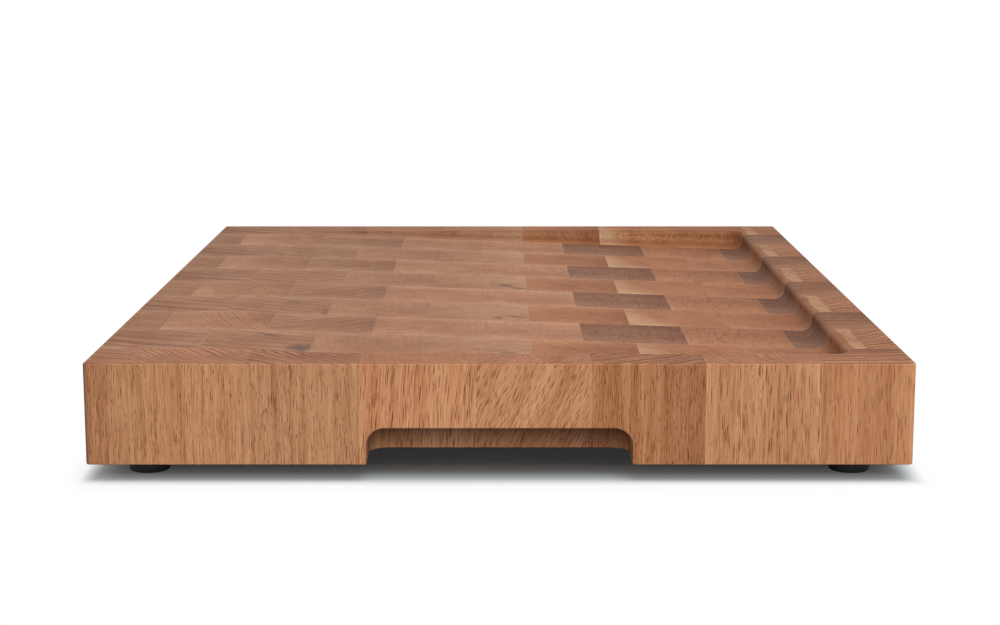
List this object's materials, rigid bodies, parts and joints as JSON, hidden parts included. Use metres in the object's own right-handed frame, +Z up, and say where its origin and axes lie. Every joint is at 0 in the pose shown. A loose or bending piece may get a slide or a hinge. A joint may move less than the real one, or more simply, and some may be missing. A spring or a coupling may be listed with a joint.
{
  "type": "end grain cutting board",
  "caption": "Thick end-grain oak cutting board with a recess that ramps down to one side, finger grips in the lower front and rear edges, and screwed rubber feet.",
  "frame": {"origin": "on the ground under the middle of the board, at the feet's lower faces", "axes": "+Z up, +Y from the front face to the rear face, +X to the right, towards the deep end of the recess"},
  "size_m": [0.4, 0.5, 0.059],
  "materials": {
    "oak_end_grain": "oiled, satin",
    "foot_rubber": "matte moulded",
    "fastener_steel": "zinc plated"
  },
  "bodies": {
    "root": {"front_block_1": "oak_end_grain", "front_block_2": "oak_end_grain", "front_block_3": "oak_end_grain", "front_block_4": "oak_end_grain", "front_block_5": "oak_end_grain", "front_block_6": "oak_end_grain", "front_block_7": "oak_end_grain", "front_block_8": "oak_end_grain", "inner_row_1": "oak_end_grain", "inner_row_2": "oak_end_grain", "inner_row_3": "oak_end_grain", "inner_row_4": "oak_end_grain", "inner_row_5": "oak_end_grain", "inner_row_6": "oak_end_grain", "inner_row_7": "oak_end_grain", "inner_row_8": "oak_end_grain", "rear_block_1": "oak_end_grain", "rear_block_2": "oak_end_grain", "rear_block_3": "oak_end_grain", "rear_block_4": "oak_end_grain", "rear_block_5": "oak_end_grain", "rear_block_6": "oak_end_grain", "rear_block_7": "oak_end_grain", "rear_block_8": "oak_end_grain", "foot_front_left": "foot_rubber", "foot_front_right": "foot_rubber", "foot_rear_left": "foot_rubber", "foot_rear_right": "foot_rubber", "foot_washers": "fastener_steel", "foot_screws": "fastener_steel"}
  },
  "joints": []
}
